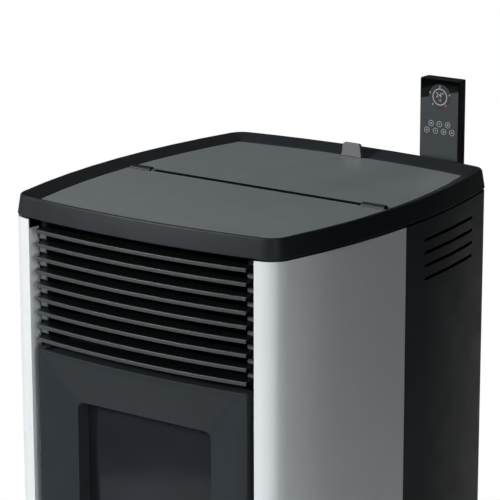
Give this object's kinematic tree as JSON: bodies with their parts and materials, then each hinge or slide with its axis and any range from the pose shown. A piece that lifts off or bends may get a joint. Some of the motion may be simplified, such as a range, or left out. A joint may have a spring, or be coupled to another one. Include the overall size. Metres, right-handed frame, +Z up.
{
  "type": "pellet stove",
  "caption": "Free-standing pellet stove with bowed steel casing, louvred hot-air grille, dished fire door, hopper under a hinged lid and a raised control panel at the back.",
  "frame": {"origin": "on the floor under the middle of the overall size", "axes": "+Z up, front of the stove towards -Y, +X to the right seen from the front"},
  "size_m": [0.5504, 0.6298, 1.234],
  "materials": {
    "black_paint": "satin black stove paint",
    "silver_paint": "fine silver metallic paint",
    "top_plate_paint": "satin dark grey paint",
    "tab_paint": "satin grey paint",
    "grey_paint": "satin anthracite stove paint",
    "ceramic_glass": "clear ceramic glass",
    "bare_steel": "plain zinc-coated steel",
    "gasket_rope": "woven glass-fibre rope",
    "handle_black": "satin black",
    "stove_iron": "matt heat-resistant iron",
    "liner_board": "pressed mineral board",
    "foot_rubber": "black rubber on a steel stud",
    "black_plastic": "fine matt plastic",
    "handset_plastic": "satin moulded plastic",
    "gloss_black": "glossy black",
    "circuit_board": "circuit board with moulded parts"
  },
  "bodies": {
    "stove_body": {"base_tray": "black_paint", "levelling_foot_fl": "foot_rubber", "levelling_foot_fr": "foot_rubber", "levelling_foot_rl": "foot_rubber", "levelling_foot_rr": "foot_rubber", "side_panel_right": "silver_paint", "side_panel_left": "silver_paint", "rear_side_right": "black_paint", "rear_side_left": "black_paint", "back_panel": "black_paint", "top_frame": "black_paint", "front_top_plate": "top_plate_paint", "lid_hinge_left": "black_paint", "lid_hinge_right": "black_paint", "front_frame": "black_paint", "grille_slat_1": "grey_paint", "grille_slat_2": "grey_paint", "grille_slat_3": "grey_paint", "grille_slat_4": "grey_paint", "grille_slat_5": "grey_paint", "grille_slat_6": "grey_paint", "grille_slat_7": "grey_paint", "grille_slat_8": "grey_paint", "grille_slat_9": "grey_paint", "kick_panel": "grey_paint", "door_hinge_upper": "black_paint", "door_hinge_lower": "black_paint", "firebox": "stove_iron", "fire_liner": "liner_board", "burn_pot": "stove_iron", "igniter": "bare_steel", "heat_exchanger": "stove_iron", "hopper": "bare_steel", "hopper_guard": "bare_steel", "auger_tube": "bare_steel", "auger_motor": "handle_black", "pellet_chute": "bare_steel", "smoke_fan_housing": "stove_iron", "flue_outlet": "bare_steel", "air_inlet": "bare_steel", "room_fan_housing": "bare_steel", "control_board": "circuit_board", "power_inlet": "black_plastic", "handset_guide": "black_plastic"},
    "door": {"fire_door": "grey_paint", "door_glass": "ceramic_glass", "glass_retainer": "bare_steel", "door_gasket": "gasket_rope"},
    "door_lever": {"door_handle": "handle_black", "door_latch": "bare_steel"},
    "drawer": {"ash_drawer_front": "grey_paint", "ash_drawer": "bare_steel"},
    "lid": {"hopper_lid": "top_plate_paint", "lid_tab": "tab_paint"},
    "screw": {"auger_screw": "bare_steel"},
    "smoke_wheel": {"smoke_fan_wheel": "bare_steel"},
    "fan_rotor": {"room_fan_rotor": "bare_steel"},
    "rocker": {"power_switch": "gloss_black"},
    "handset": {"handset_body": "handset_plastic", "handset_glass": "gloss_black"}
  },
  "joints": [
    {"name": "fire_door_hinge", "type": "hinge", "parent": "stove_body", "child": "door", "pos_m": [-0.1836, -0.29324, 0.6057], "axis": [0, 0, -1], "range_deg": [0, 110]},
    {"name": "door_handle_turn", "type": "hinge", "parent": "door", "child": "door_lever", "pos_m": [0.1841, -0.28173, 0.6007], "axis": [0, 1, 0], "range_deg": [0, 80]},
    {"name": "ash_drawer_slide", "type": "slide", "parent": "stove_body", "child": "drawer", "axis": [0, -1, 0], "range_m": [0, 0.2]},
    {"name": "hopper_lid_hinge", "type": "hinge", "parent": "stove_body", "child": "lid", "pos_m": [0, -0.01473, 1.0993], "axis": [1, 0, 0], "range_deg": [0, 95]},
    {"name": "auger_turn", "type": "hinge", "parent": "stove_body", "child": "screw", "pos_m": [0, 0.17158, 0.495], "axis": [0, -0.866, 0.5], "continuous": true},
    {"name": "smoke_fan_turn", "type": "hinge", "parent": "stove_body", "child": "smoke_wheel", "pos_m": [-0.095, 0.18827, 0.25], "axis": [0, 1, 0], "continuous": true},
    {"name": "room_fan_turn", "type": "hinge", "parent": "stove_body", "child": "fan_rotor", "pos_m": [0, 0.07627, 0.12], "axis": [1, 0, 0], "continuous": true},
    {"name": "power_switch_rock", "type": "hinge", "parent": "stove_body", "child": "rocker", "pos_m": [0.1805, 0.25707, 0.12], "axis": [1, 0, 0], "range_deg": [0, 18]},
    {"name": "handset_slide", "type": "slide", "parent": "stove_body", "child": "handset", "axis": [0, 0, -1], "range_m": [0, 0.115]}
  ]
}
